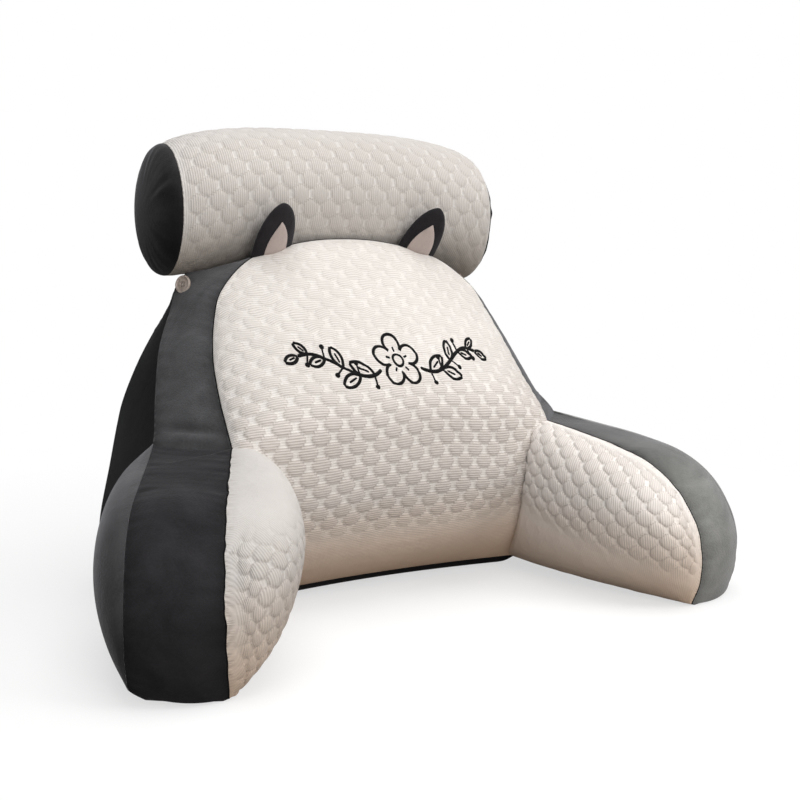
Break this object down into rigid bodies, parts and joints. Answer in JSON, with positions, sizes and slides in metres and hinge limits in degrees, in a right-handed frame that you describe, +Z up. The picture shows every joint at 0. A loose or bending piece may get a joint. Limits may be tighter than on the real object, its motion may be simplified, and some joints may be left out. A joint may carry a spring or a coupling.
{
  "type": "triangular reading pillow",
  "caption": "Wedge-shaped reading pillow with armrests, a round neck bolster, two small ears and quilted ivory front panels set in charcoal plush.",
  "frame": {"origin": "on the surface the pillow stands on, under the middle of its overall length and depth", "axes": "+Z up, +X along the width, so the arms point towards -Y, where the reader sits"},
  "size_m": [0.8106, 0.5218, 0.598],
  "materials": {
    "quilted_ivory": "soft air-layer jacquard with puffed cells",
    "charcoal_plush": "short soft nap",
    "black_plush": "short soft nap",
    "shell_button": "satin moulded button"
  },
  "bodies": {
    "root": {"front_panel": "quilted_ivory", "body_gusset": "charcoal_plush", "back_panel": "black_plush", "base_panel": "black_plush", "bolster_cover": "quilted_ivory", "arm_inner_panel_right": "quilted_ivory", "arm_gusset_right": "charcoal_plush", "arm_outer_panel_right": "charcoal_plush", "bolster_cap_right": "black_plush", "ear_outer_right": "charcoal_plush", "ear_inner_right": "quilted_ivory", "button_right": "shell_button", "arm_inner_panel_left": "quilted_ivory", "arm_gusset_left": "charcoal_plush", "arm_outer_panel_left": "charcoal_plush", "bolster_cap_left": "black_plush", "ear_outer_left": "charcoal_plush", "ear_inner_left": "quilted_ivory", "button_left": "shell_button"}
  },
  "joints": []
}
